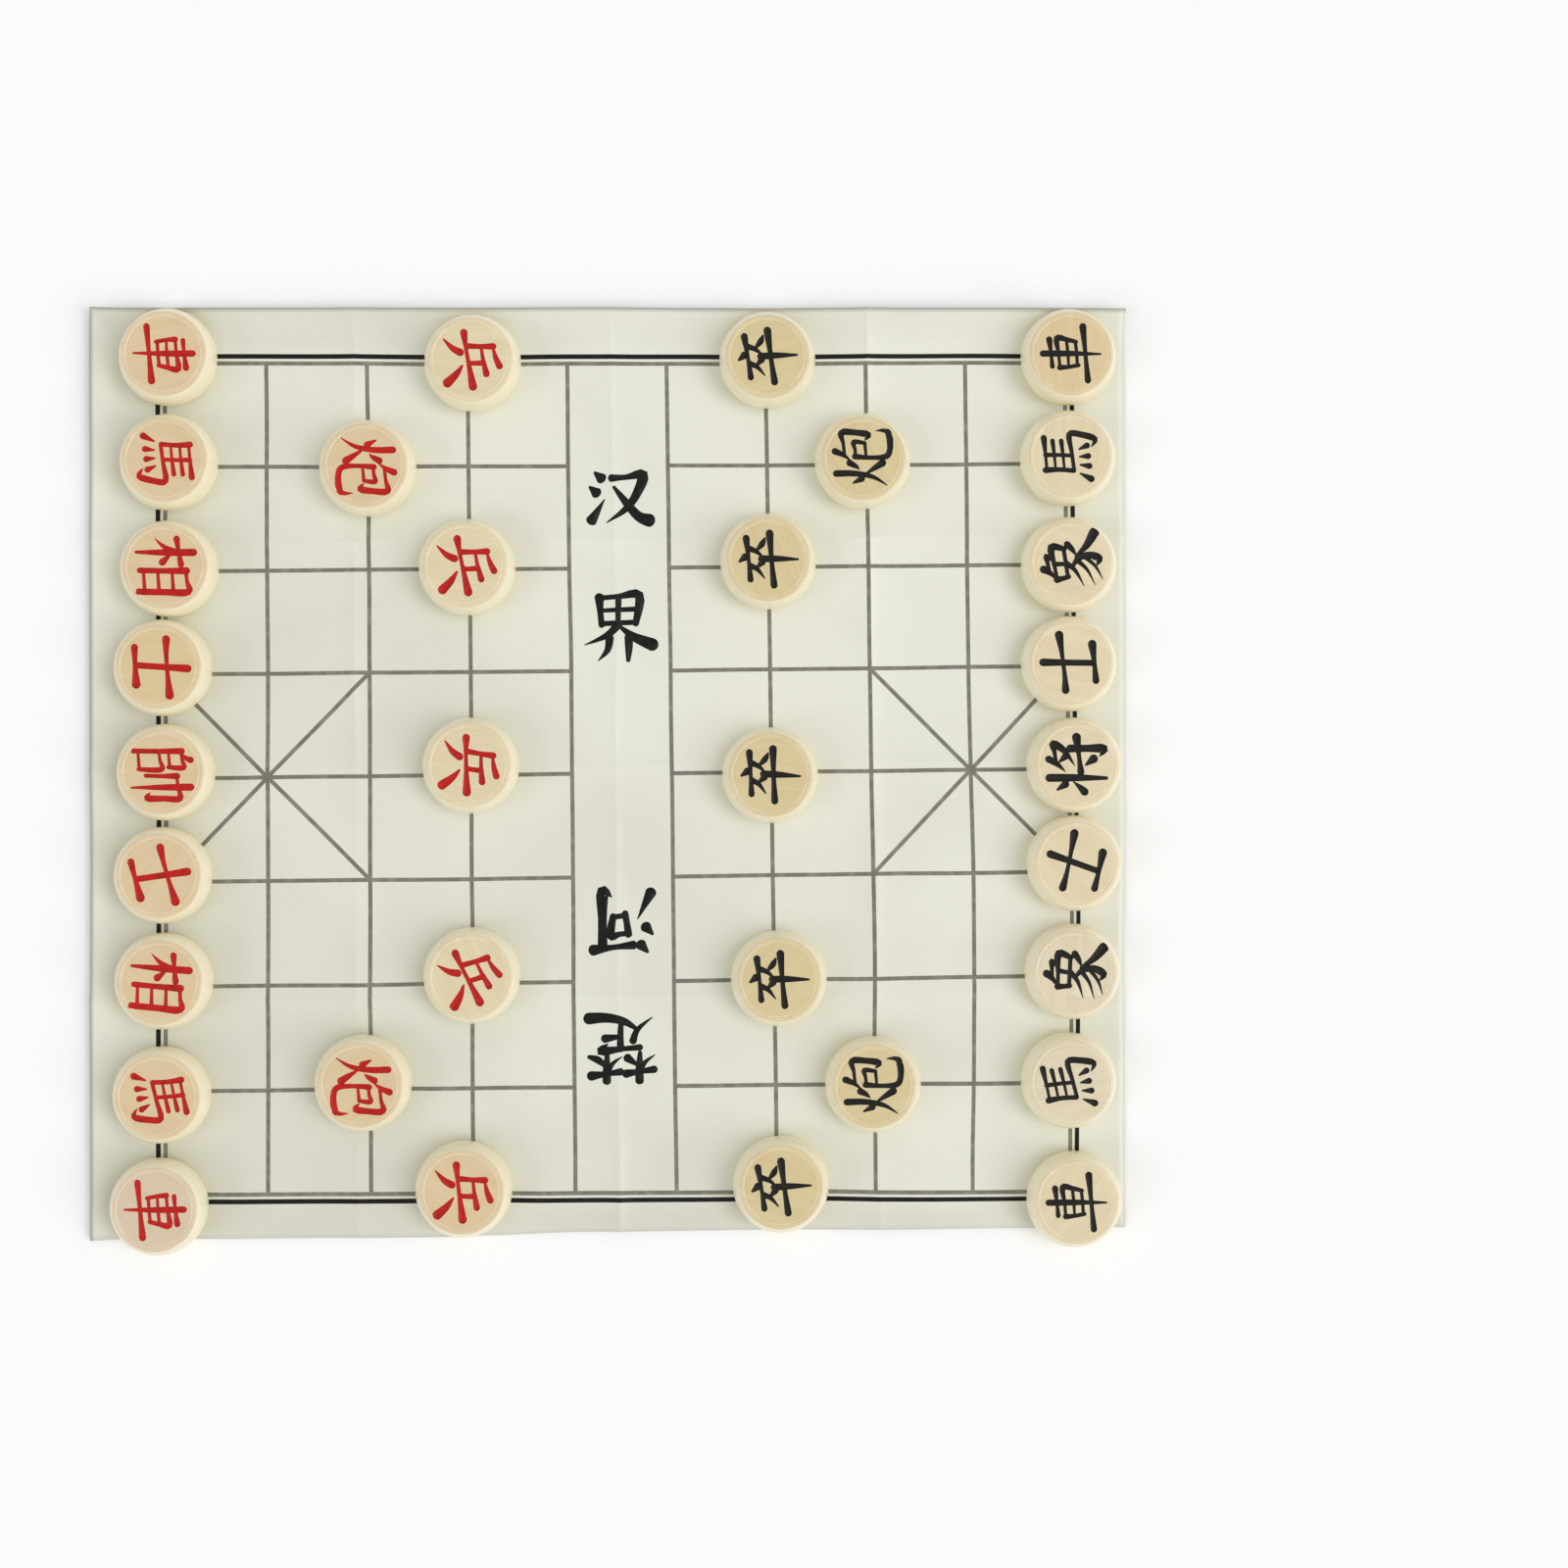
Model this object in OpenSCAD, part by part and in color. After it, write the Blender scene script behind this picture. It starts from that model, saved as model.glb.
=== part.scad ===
// Chinese chess set: a thin printed sheet with its thirty-two turned pieces set up for play.
// X runs along the sheet from the red side to the black side, Y runs towards the back edge,
// Z is up. The origin is the middle of the sheet's underside. All sizes are in millimetres.

/* [Pieces] */
// Largest diameter of a piece, at half its height
piece_d = 33; // [24:0.5:50]
// Height of a piece
piece_h = 13; // [9:0.5:18]
// How far the bulged wall draws in from the largest diameter to each end face
wall_bulge = 2.4; // [1.5:0.1:3.2]
// Radius that softens the edge between an end face and the wall
edge_r = 0.7; // [0.4:0.1:1.2]
// Width of the land between the turned ring and the softened edge
rim_land = 0.7; // [0.6:0.1:2]
// Width of the turned ring, a fine groove in the upper face
ring_w = 0.7; // [0.4:0.1:1.2]
// Depth of the turned ring
ring_depth = 0.2; // [0.1:0.05:0.3]

/* [Playing grid] */
// Free space between neighbouring pieces along X
rank_gap = 1.7; // [1:0.1:8]
// Free space between neighbouring pieces along Y
file_gap = 2.8; // [2.3:0.1:8]

/* [Board sheet] */
// Thickness of the sheet
sheet_t = 0.2; // [0.1:0.05:1]
// Margin outside the grid at the red end
red_margin = 24.9; // [18:0.1:60]
// Margin outside the grid at the black end
black_margin = 20.8; // [18:0.1:60]
// Margin outside the grid at the back edge
back_margin = 17.8; // [10:0.1:60]
// Margin outside the grid at the front edge
front_margin = 12.8; // [10:0.1:60]

/* [Hidden] */
$fn = 96;

// The grid has ten lines across and nine lines along, crossing where the pieces stand.
rank_count = 10;
file_count = 9;
rank_pitch = piece_d + rank_gap;
file_pitch = piece_d + file_gap;
grid_l = (rank_count - 1) * rank_pitch;
grid_w = (file_count - 1) * file_pitch;
sheet_l = red_margin + grid_l + black_margin;
sheet_w = front_margin + grid_w + back_margin;
first_rank_x = red_margin - sheet_l / 2;
back_file_y = sheet_w / 2 - back_margin;

// The wall's arc passes through the largest diameter at half height and the edge of each end face.
half_h = piece_h / 2;
wall_r = (half_h * half_h + wall_bulge * wall_bulge) / (2 * wall_bulge);
wall_x = piece_d / 2 - wall_r;

// The edge's arc touches the end face and the wall.
edge_z = half_h - edge_r;
edge_x = wall_x + sqrt(pow(wall_r - edge_r, 2) - pow(edge_z, 2));
edge_dir = [edge_x - wall_x, edge_z] / (wall_r - edge_r);

// The ring is a round-bottomed groove whose outer edge leaves the land beside the softened edge.
ring_tool_r = (ring_w * ring_w / 4 + ring_depth * ring_depth) / (2 * ring_depth);
ring_x = edge_x - rim_land - ring_w / 2;

// Each piece: its name, its line across (0 is the red back row), its line along (0 is at the
// back), and how far it was set down from the crossing along X and Y.
pieces = [
    ["red_chariot_1",    0, 0,  3.3,  0.7],
    ["red_horse_1",      0, 1,  3.4,  0.6],
    ["red_elephant_1",   0, 2,  3.4,  0.1],
    ["red_advisor_1",    0, 3,  1.0,  2.1],
    ["red_general",      0, 4,  1.8,  2.3],
    ["red_advisor_2",    0, 5,  0.6,  3.0],
    ["red_elephant_2",   0, 6,  0.7,  2.8],
    ["red_horse_2",      0, 7, -0.2, -0.1],
    ["red_chariot_2",    0, 8, -1.4, -2.2],
    ["red_cannon_1",     2, 1,  1.5, -1.6],
    ["red_cannon_2",     2, 7, -1.5,  3.1],
    ["red_soldier_1",    3, 0,  2.8, -1.5],
    ["red_soldier_2",    3, 2,  0.4,  0.1],
    ["red_soldier_3",    3, 4,  1.2,  3.8],
    ["red_soldier_4",    3, 6,  1.0,  3.6],
    ["red_soldier_5",    3, 8, -2.2,  2.3],
    ["black_soldier_1",  6, 0, -0.3, -0.7],
    ["black_soldier_2",  6, 2, -0.6,  1.6],
    ["black_soldier_3",  6, 4, -0.5, -0.3],
    ["black_soldier_4",  6, 6,  1.9,  1.5],
    ["black_soldier_5",  6, 8,  2.0,  2.5],
    ["black_cannon_1",   7, 1, -2.5,  0.2],
    ["black_cannon_2",   7, 7, -0.7,  0.6],
    ["black_chariot_1",  9, 0, -0.3,  0.1],
    ["black_horse_1",    9, 1, -0.9,  0.9],
    ["black_elephant_1", 9, 2, -0.9, -0.1],
    ["black_advisor_1",  9, 3, -1.2,  1.5],
    ["black_general",    9, 4,  0.4,  2.3],
    ["black_advisor_2",  9, 5,  0.1,  4.3],
    ["black_elephant_2", 9, 6, -0.9,  2.8],
    ["black_horse_2",    9, 7, -2.6,  1.1],
    ["black_chariot_2",  9, 8, -1.0, -4.0]
];

// The place on the sheet's upper face where a piece of the table stands.
function piece_place(p) = [
    first_rank_x + p[1] * rank_pitch + p[3],
    back_file_y - p[2] * file_pitch + p[4],
    sheet_t
];

// Half of the turned outline, from half height up to the end face.
module outline_half() {
    difference() {
        intersection() {
            square([piece_d / 2, half_h]);
            union() {
                square([wall_x + wall_r / 2, half_h]);
                translate([wall_x, 0]) circle(r = wall_r);
            }
        }
        // what the softened edge takes off the corner
        difference() {
            translate([edge_x, edge_z])
                polygon([[0, 0], [0, 2 * edge_r], 2 * edge_r * [1, 1], 2 * edge_r * edge_dir]);
            translate([edge_x, edge_z]) circle(r = edge_r);
        }
    }
}

module ring_tool() {
    translate([ring_x, piece_h + ring_tool_r - ring_depth]) circle(r = ring_tool_r);
}

// The whole turned outline, standing on its lower face.
module outline() {
    difference() {
        translate([0, half_h]) {
            outline_half();
            mirror([0, 1]) outline_half();
        }
        ring_tool();
    }
}

module board_sheet() {
    color("ivory")
        translate([-sheet_l / 2, -sheet_w / 2, 0]) cube([sheet_l, sheet_w, sheet_t]);
}

module piece(p) {
    color("burlywood")
        translate(piece_place(p)) rotate_extrude() outline();
}

board_sheet();
for (p = pieces) piece(p);
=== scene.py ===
import math
import random

import bmesh
import bpy
from mathutils import Matrix, Vector, noise


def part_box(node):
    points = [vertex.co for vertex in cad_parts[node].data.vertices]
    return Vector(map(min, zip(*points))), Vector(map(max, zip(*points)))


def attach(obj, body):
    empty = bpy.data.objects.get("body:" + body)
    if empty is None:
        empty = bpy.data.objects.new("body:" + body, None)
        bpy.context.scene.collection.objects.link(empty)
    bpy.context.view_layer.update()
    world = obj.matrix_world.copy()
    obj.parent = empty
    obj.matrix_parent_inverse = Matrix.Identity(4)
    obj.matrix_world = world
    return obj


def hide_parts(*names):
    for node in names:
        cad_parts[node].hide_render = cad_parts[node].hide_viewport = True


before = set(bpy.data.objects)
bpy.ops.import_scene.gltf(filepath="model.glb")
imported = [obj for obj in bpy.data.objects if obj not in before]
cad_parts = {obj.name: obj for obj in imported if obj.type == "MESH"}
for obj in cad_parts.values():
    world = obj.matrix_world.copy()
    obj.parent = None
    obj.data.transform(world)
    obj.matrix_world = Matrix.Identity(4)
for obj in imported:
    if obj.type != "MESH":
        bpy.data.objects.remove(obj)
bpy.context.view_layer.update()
mm = 0.001
together = 0.001 * mm  # points nearer than this are merged
random.seed(32)
print("frame loaded,", len(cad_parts), "nodes")

boardLow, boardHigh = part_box("board_sheet")
pieceNodes = sorted(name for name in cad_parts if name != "board_sheet")


# the camera looks down on the board from a little to the left of what it aims at
photoView = {
    "eye": (35 * mm, -12 * mm, 760 * mm),
    "target": (58.54 * mm, -5.84 * mm, 0.0),
    "shown": 543.8 * mm,  # width of the floor that fills the square frame
    "roll": -0.476,  # degrees
    "sensor": 36.0,
    "farthest": 30,
}


def placeCamera():
    eye, target = Vector(photoView["eye"]), Vector(photoView["target"])
    back = (eye - target).normalized()
    right = Vector((0, 1, 0)).cross(back).normalized()
    turn = Matrix((right, back.cross(right), back)).transposed().to_4x4()
    roll = Matrix.Rotation(math.radians(photoView["roll"]), 4, "Z")
    data = bpy.data.cameras.new("camera")
    data.sensor_width = photoView["sensor"]
    data.lens = photoView["sensor"] * (eye - target).length / photoView["shown"]
    data.clip_end = photoView["farthest"]
    camera = bpy.data.objects.new("camera", data)
    camera.matrix_world = Matrix.Translation(eye) @ turn @ roll
    bpy.context.scene.collection.objects.link(camera)
    bpy.context.scene.camera = camera


placeCamera()
print("camera placed")


def addNode(tree, kind, inputs=None, **settings):
    node = tree.nodes.new("ShaderNode" + kind)
    for name, value in settings.items():
        setattr(node, name, value)
    for name, value in (inputs or {}).items():
        if isinstance(value, bpy.types.NodeSocket):
            tree.links.new(value, node.inputs[name])
        else:
            node.inputs[name].default_value = value
    return node


def paint(red, green, blue):
    def linear(level):
        level /= 255
        return level / 12.92 if level <= 0.04045 else ((level + 0.055) / 1.055) ** 2.4
    return (linear(red), linear(green), linear(blue), 1.0)


def startMaterial(name, sockets):
    material = bpy.data.materials.new(name)
    material.use_nodes = True
    tree = material.node_tree
    shader = tree.nodes["Principled BSDF"]
    for socket, value in sockets.items():
        shader.inputs[socket].default_value = value
    return material, tree, shader


def blendColors(tree, share, first, second, kind="MIX"):
    mixer = addNode(tree, "Mix", data_type="RGBA", blend_type=kind)
    for socket, value in ((0, share), (6, first), (7, second)):
        if isinstance(value, bpy.types.NodeSocket):
            tree.links.new(value, mixer.inputs[socket])
        else:
            mixer.inputs[socket].default_value = value
    return mixer.outputs[2]


def rescale(tree, value, low, high, toLow=0.0, toHigh=1.0):
    return addNode(tree, "MapRange", {
        "Value": value, "From Min": low, "From Max": high, "To Min": toLow, "To Max": toHigh,
    }).outputs[0]


def stretchedNoise(tree, coordinates, stretch, scale, detail, roughness):
    mapped = addNode(tree, "Mapping", {"Vector": coordinates, "Scale": stretch})
    return addNode(tree, "TexNoise", {
        "Vector": mapped.outputs[0], "Scale": scale, "Detail": detail, "Roughness": roughness,
    }).outputs["Fac"]


filmFinish = {
    "color": (231, 231, 218),
    "shade": (214, 213, 199),  # the slightly yellowed patches, and the painted shade that darkens the film towards the left and front and along the front and back margins
    "shadeRange": (0.35, 0.9),  # levels of the patches at which the shade begins and is full
    "paintedShadeDrift": (-1.5, -1.1),  # painted shade: how much the shade fades along X and Y, per metre, so that the film is darker towards the left and front, where less light falls
    "rim": (158, 157, 146),  # painted shade: the dark rim along the lifted left and back edges
    "roughness": (0.30, 0.42),
    "dullRange": (0.3, 0.7),  # levels of the dulling at which each roughness is reached
    "wrinkle": 0.10 * mm,
    "skin": 0.006 * mm,
    # each noise: its stretch along X, Y and Z, its scale, detail and roughness
    "patches": ((1, 1, 1), 14, 3, 0.5),
    "dulling": ((1, 1, 1), 60, 4, 0.5),
    "wrinkles": ((1, 0.45, 1), 42, 5, 0.45),
    "grain": ((1, 1, 1), 900, 2, 0.5),
}


def filmMaterial():
    material, tree, shader = startMaterial("white film", {"IOR": 1.5})
    place = addNode(tree, "TexCoord").outputs["Object"]
    patches = stretchedNoise(tree, place, *filmFinish["patches"])
    # painted shade: the film darkens towards the left and front
    paintedShadeDrift = addNode(tree, "VectorMath", {0: place, 1: (*filmFinish["paintedShadeDrift"], 0)}, operation="DOT_PRODUCT")
    patches = addNode(tree, "Math", {0: patches, 1: paintedShadeDrift.outputs["Value"]}, operation="ADD").outputs[0]
    # painted shade: the front and back margins are darkened
    margin = addNode(tree, "Attribute", attribute_name="margin").outputs["Fac"]
    patches = addNode(tree, "Math", {0: patches, 1: margin}, operation="ADD").outputs[0]
    tinted = blendColors(tree, rescale(tree, patches, *filmFinish["shadeRange"]), paint(*filmFinish["color"]),
                         paint(*filmFinish["shade"]))
    # painted shade: a dark line along the lifted left and back edges, which lie in shade
    rim = addNode(tree, "Attribute", attribute_name="rim").outputs["Fac"]
    tree.links.new(blendColors(tree, rim, tinted, paint(*filmFinish["rim"])), shader.inputs["Base Color"])
    dulling = stretchedNoise(tree, place, *filmFinish["dulling"])
    tree.links.new(rescale(tree, dulling, *filmFinish["dullRange"], *filmFinish["roughness"]),
                   shader.inputs["Roughness"])
    wrinkles = stretchedNoise(tree, place, *filmFinish["wrinkles"])
    grain = stretchedNoise(tree, place, *filmFinish["grain"])
    low = addNode(tree, "Bump", {"Height": wrinkles, "Distance": filmFinish["wrinkle"], "Strength": 1.0})
    high = addNode(tree, "Bump", {"Height": grain, "Distance": filmFinish["skin"], "Strength": 1.0,
                                  "Normal": low.outputs[0]})
    tree.links.new(high.outputs[0], shader.inputs["Normal"])
    return material


coatFinish = {
    "ink": {"color": (10, 10, 8), "faded": (27, 26, 22), "roughness": 0.42, "gloss": 0.16, "grain": 260},
    "line ink": {"color": (116, 114, 103), "faded": (142, 140, 127), "roughness": 0.42, "gloss": 0.3,
                 "grain": 260},
    "red paint": {"color": (190, 20, 8), "faded": (156, 12, 5), "roughness": 0.42, "gloss": 0.26,
                  "grain": 420},
    "black paint": {"color": (9, 8, 4), "faded": (22, 20, 13), "roughness": 0.45, "gloss": 0.2, "grain": 420},
}
coatCover = {
    "detail": (3, 0.5),  # detail and roughness of the cover's noise
    "fadeRange": (0.42, 0.75),  # levels of the cover at which the fading begins and is full
    "depth": 0.03 * mm,
    "strength": 0.6,
}


def coatMaterial(name):
    finish = coatFinish[name]
    sockets = {"Roughness": finish["roughness"], "Specular IOR Level": finish["gloss"]}
    material, tree, shader = startMaterial(name, sockets)
    place = addNode(tree, "TexCoord").outputs["Object"]
    cover = stretchedNoise(tree, place, (1, 1, 1), finish["grain"], *coatCover["detail"])
    mixed = blendColors(tree, rescale(tree, cover, *coatCover["fadeRange"]), paint(*finish["color"]),
                        paint(*finish["faded"]))
    tree.links.new(mixed, shader.inputs["Base Color"])
    bump = addNode(tree, "Bump", {"Height": cover, "Distance": coatCover["depth"],
                                  "Strength": coatCover["strength"]})
    tree.links.new(bump.outputs[0], shader.inputs["Normal"])
    return material


woodFinish = {
    "tones": {"pale": (229, 215, 178), "rose": (224, 201, 161), "amber": (219, 202, 154),
              "honey": (223, 201, 156), "ash": (227, 215, 186), "dusk": (220, 201, 175)},
    "streak": (0.80, 0.72, 0.60),  # share of the tone that is left in a dark streak
    "streakShare": 0.34,
    # each noise: its stretch along and across the grain, its scale, detail and roughness
    "fibres": ((1.6, 38, 38), 1, 5, 0.6),
    "bands": ((0.5, 4.5, 4.5), 1, 3, 0.5),
    "fibreRange": (0.38, 0.72),  # levels of the fibres at which a streak begins and is full
    "bandRange": (0.3, 0.7),
    "pieceStep": 3.7,  # how far apart in the wood two pieces are cut, in shares of the radius
    "land": (249, 241, 213),  # the paler wood of the wall, which the land and the ring show in part; on the wall it is partly the wood's own paler colour and partly painted light, as the wall is lit brighter than the face
    "landShare": 0.2,
    # share of the paler colour on the wall: partly its own colour, partly painted light
    "wallShare": 0.88,
    "wallGrain": 0.5,  # strength of the streaks on the wall, as a share of that on the face
    "lowWallLight": (255, 245, 196),  # painted light: the warmer, lighter colour of the lower half of the wall, which lifts the shade that falls there
    "lowWallLightShare": 0.9,
    "lowWallLightFrom": (9 * mm, 4 * mm),  # heights at which the painted light begins and is full
    "cutShare": 0.40,  # how much of the paler colour shows in the ring groove
    "cutRange": (0.2, 0.5),  # where that colour begins to fade and ends, in widths of the ring
    "rim": (206, 176, 122),  # the amber line where the edge was softened
    "rimShare": 0.28,
    "roughness": (0.28, 0.40),
    "fibreDepth": 0.012 * mm,
    "varnish": {"Coat Weight": 0.5, "Coat Roughness": 0.16},
}


def woodMaterial(tone):
    color = paint(*woodFinish["tones"][tone])
    material, tree, shader = startMaterial("turned wood " + tone, woodFinish["varnish"])
    flat = addNode(tree, "UVMap", uv_map="turned").outputs[0]
    across = addNode(tree, "SeparateXYZ", {0: flat})
    number = addNode(tree, "Attribute", attribute_name="pieceNumber").outputs["Fac"]
    height = addNode(tree, "SeparateXYZ", {0: addNode(tree, "TexCoord").outputs["Object"]}).outputs[2]
    deep = addNode(tree, "Math", {0: height, 1: 1 / turned["radius"], 2: number}, operation="MULTIPLY_ADD")
    inside = addNode(tree, "CombineXYZ", {0: across.outputs[0], 1: across.outputs[1], 2: deep.outputs[0]})
    fibres = stretchedNoise(tree, inside.outputs[0], *woodFinish["fibres"])
    bands = stretchedNoise(tree, inside.outputs[0], *woodFinish["bands"])
    streaks = addNode(tree, "Math", {0: rescale(tree, fibres, *woodFinish["fibreRange"]),
                                     1: rescale(tree, bands, *woodFinish["bandRange"])}, operation="ADD")
    share = addNode(tree, "Math", {0: streaks.outputs[0], 1: woodFinish["streakShare"]}, operation="MULTIPLY")
    away = addNode(tree, "VectorMath", {0: flat}, operation="LENGTH").outputs["Value"]
    ringAt, ringWide = turned["ringRadius"] / turned["radius"], turned["ringWidth"] / turned["radius"]
    rimAt, rimWide = turned["rimRadius"] / turned["radius"], turned["edge"] / 2 / turned["radius"]
    pale = paint(*woodFinish["land"])
    land = rescale(tree, away, ringAt, ringAt + ringWide, 0, woodFinish["landShare"])
    # the wall takes the paler colour: its own paler wood and painted light
    wall = rescale(tree, away, rimAt, rimAt + rimWide, 0, woodFinish["wallShare"])
    edged = blendColors(tree, wall, blendColors(tree, land, color, pale), pale)
    # painted light: the lower half of the wall is painted warmer and lighter, to lift the shade that falls
    # there
    begins, full = woodFinish["lowWallLightFrom"]
    low = rescale(tree, height, full, begins, woodFinish["lowWallLightShare"], 0)
    edged = blendColors(tree, low, edged, paint(*woodFinish["lowWallLight"]))
    offRim = addNode(tree, "Math", {0: away, 1: rimAt}, operation="SUBTRACT")
    offRim = addNode(tree, "Math", {0: offRim.outputs[0]}, operation="ABSOLUTE").outputs[0]
    rim = rescale(tree, offRim, 0, rimWide, woodFinish["rimShare"], 0)
    edged = blendColors(tree, rim, edged, paint(*woodFinish["rim"]))
    offRing = addNode(tree, "Math", {0: away, 1: ringAt}, operation="SUBTRACT")
    offRing = addNode(tree, "Math", {0: offRing.outputs[0]}, operation="ABSOLUTE").outputs[0]
    fades, ends = (ringWide * share for share in woodFinish["cutRange"])
    cut = rescale(tree, offRing, fades, ends, woodFinish["cutShare"], 0)
    edged = blendColors(tree, cut, edged, pale)
    onWall = rescale(tree, away, rimAt, rimAt + rimWide, 1, woodFinish["wallGrain"])
    share = addNode(tree, "Math", {0: share.outputs[0], 1: onWall}, operation="MULTIPLY").outputs[0]
    tree.links.new(blendColors(tree, share, edged, (*woodFinish["streak"], 1.0), "MULTIPLY"),
                   shader.inputs["Base Color"])
    tree.links.new(rescale(tree, bands, *woodFinish["bandRange"], *woodFinish["roughness"]),
                   shader.inputs["Roughness"])
    bump = addNode(tree, "Bump", {"Height": fibres, "Distance": woodFinish["fibreDepth"], "Strength": 1.0})
    tree.links.new(bump.outputs[0], shader.inputs["Normal"])
    return material


sampleLow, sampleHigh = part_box("red_general")
turned = {
    "radius": (sampleHigh.x - sampleLow.x) / 2,
    "height": sampleHigh.z - sampleLow.z,
    "bulge": 2.4 * mm,  # how far the wall draws in from the largest radius to the face
    "edge": 0.7 * mm,  # radius that softens the edge of the face
    "rimRadius": 14.05 * mm,  # the middle of the softened edge
    "ringRadius": 12.72 * mm,
    "ringWidth": 0.7 * mm,
    "ringDepth": 0.2 * mm,
    "steps": 112,  # round the piece
    "wallSteps": 9,
    "edgeSteps": 5,
    "ringSteps": 6,
}

inks = {name: coatMaterial(name) for name in coatFinish}
woods = {tone: woodMaterial(tone) for tone in woodFinish["tones"]}
filmWhite = filmMaterial()
print("materials made")


def addPiece(name, mesh, body, materials):
    for material in materials:
        mesh.materials.append(material)
    piece = bpy.data.objects.new(name, mesh)
    bpy.context.scene.collection.objects.link(piece)
    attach(piece, body)
    return piece


def meshOf(bm, name):
    mesh = bpy.data.meshes.new(name)
    bm.to_mesh(mesh)
    bm.free()
    return mesh


def passedBy(first, second, third, last, share):
    # a smooth curve from the second point to the third
    square, cube = share * share, share ** 3
    return 0.5 * (2 * second + (third - first) * share
                  + (2 * first - 5 * second + 4 * third - last) * square
                  + (3 * second - first - 3 * third + last) * cube)


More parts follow.
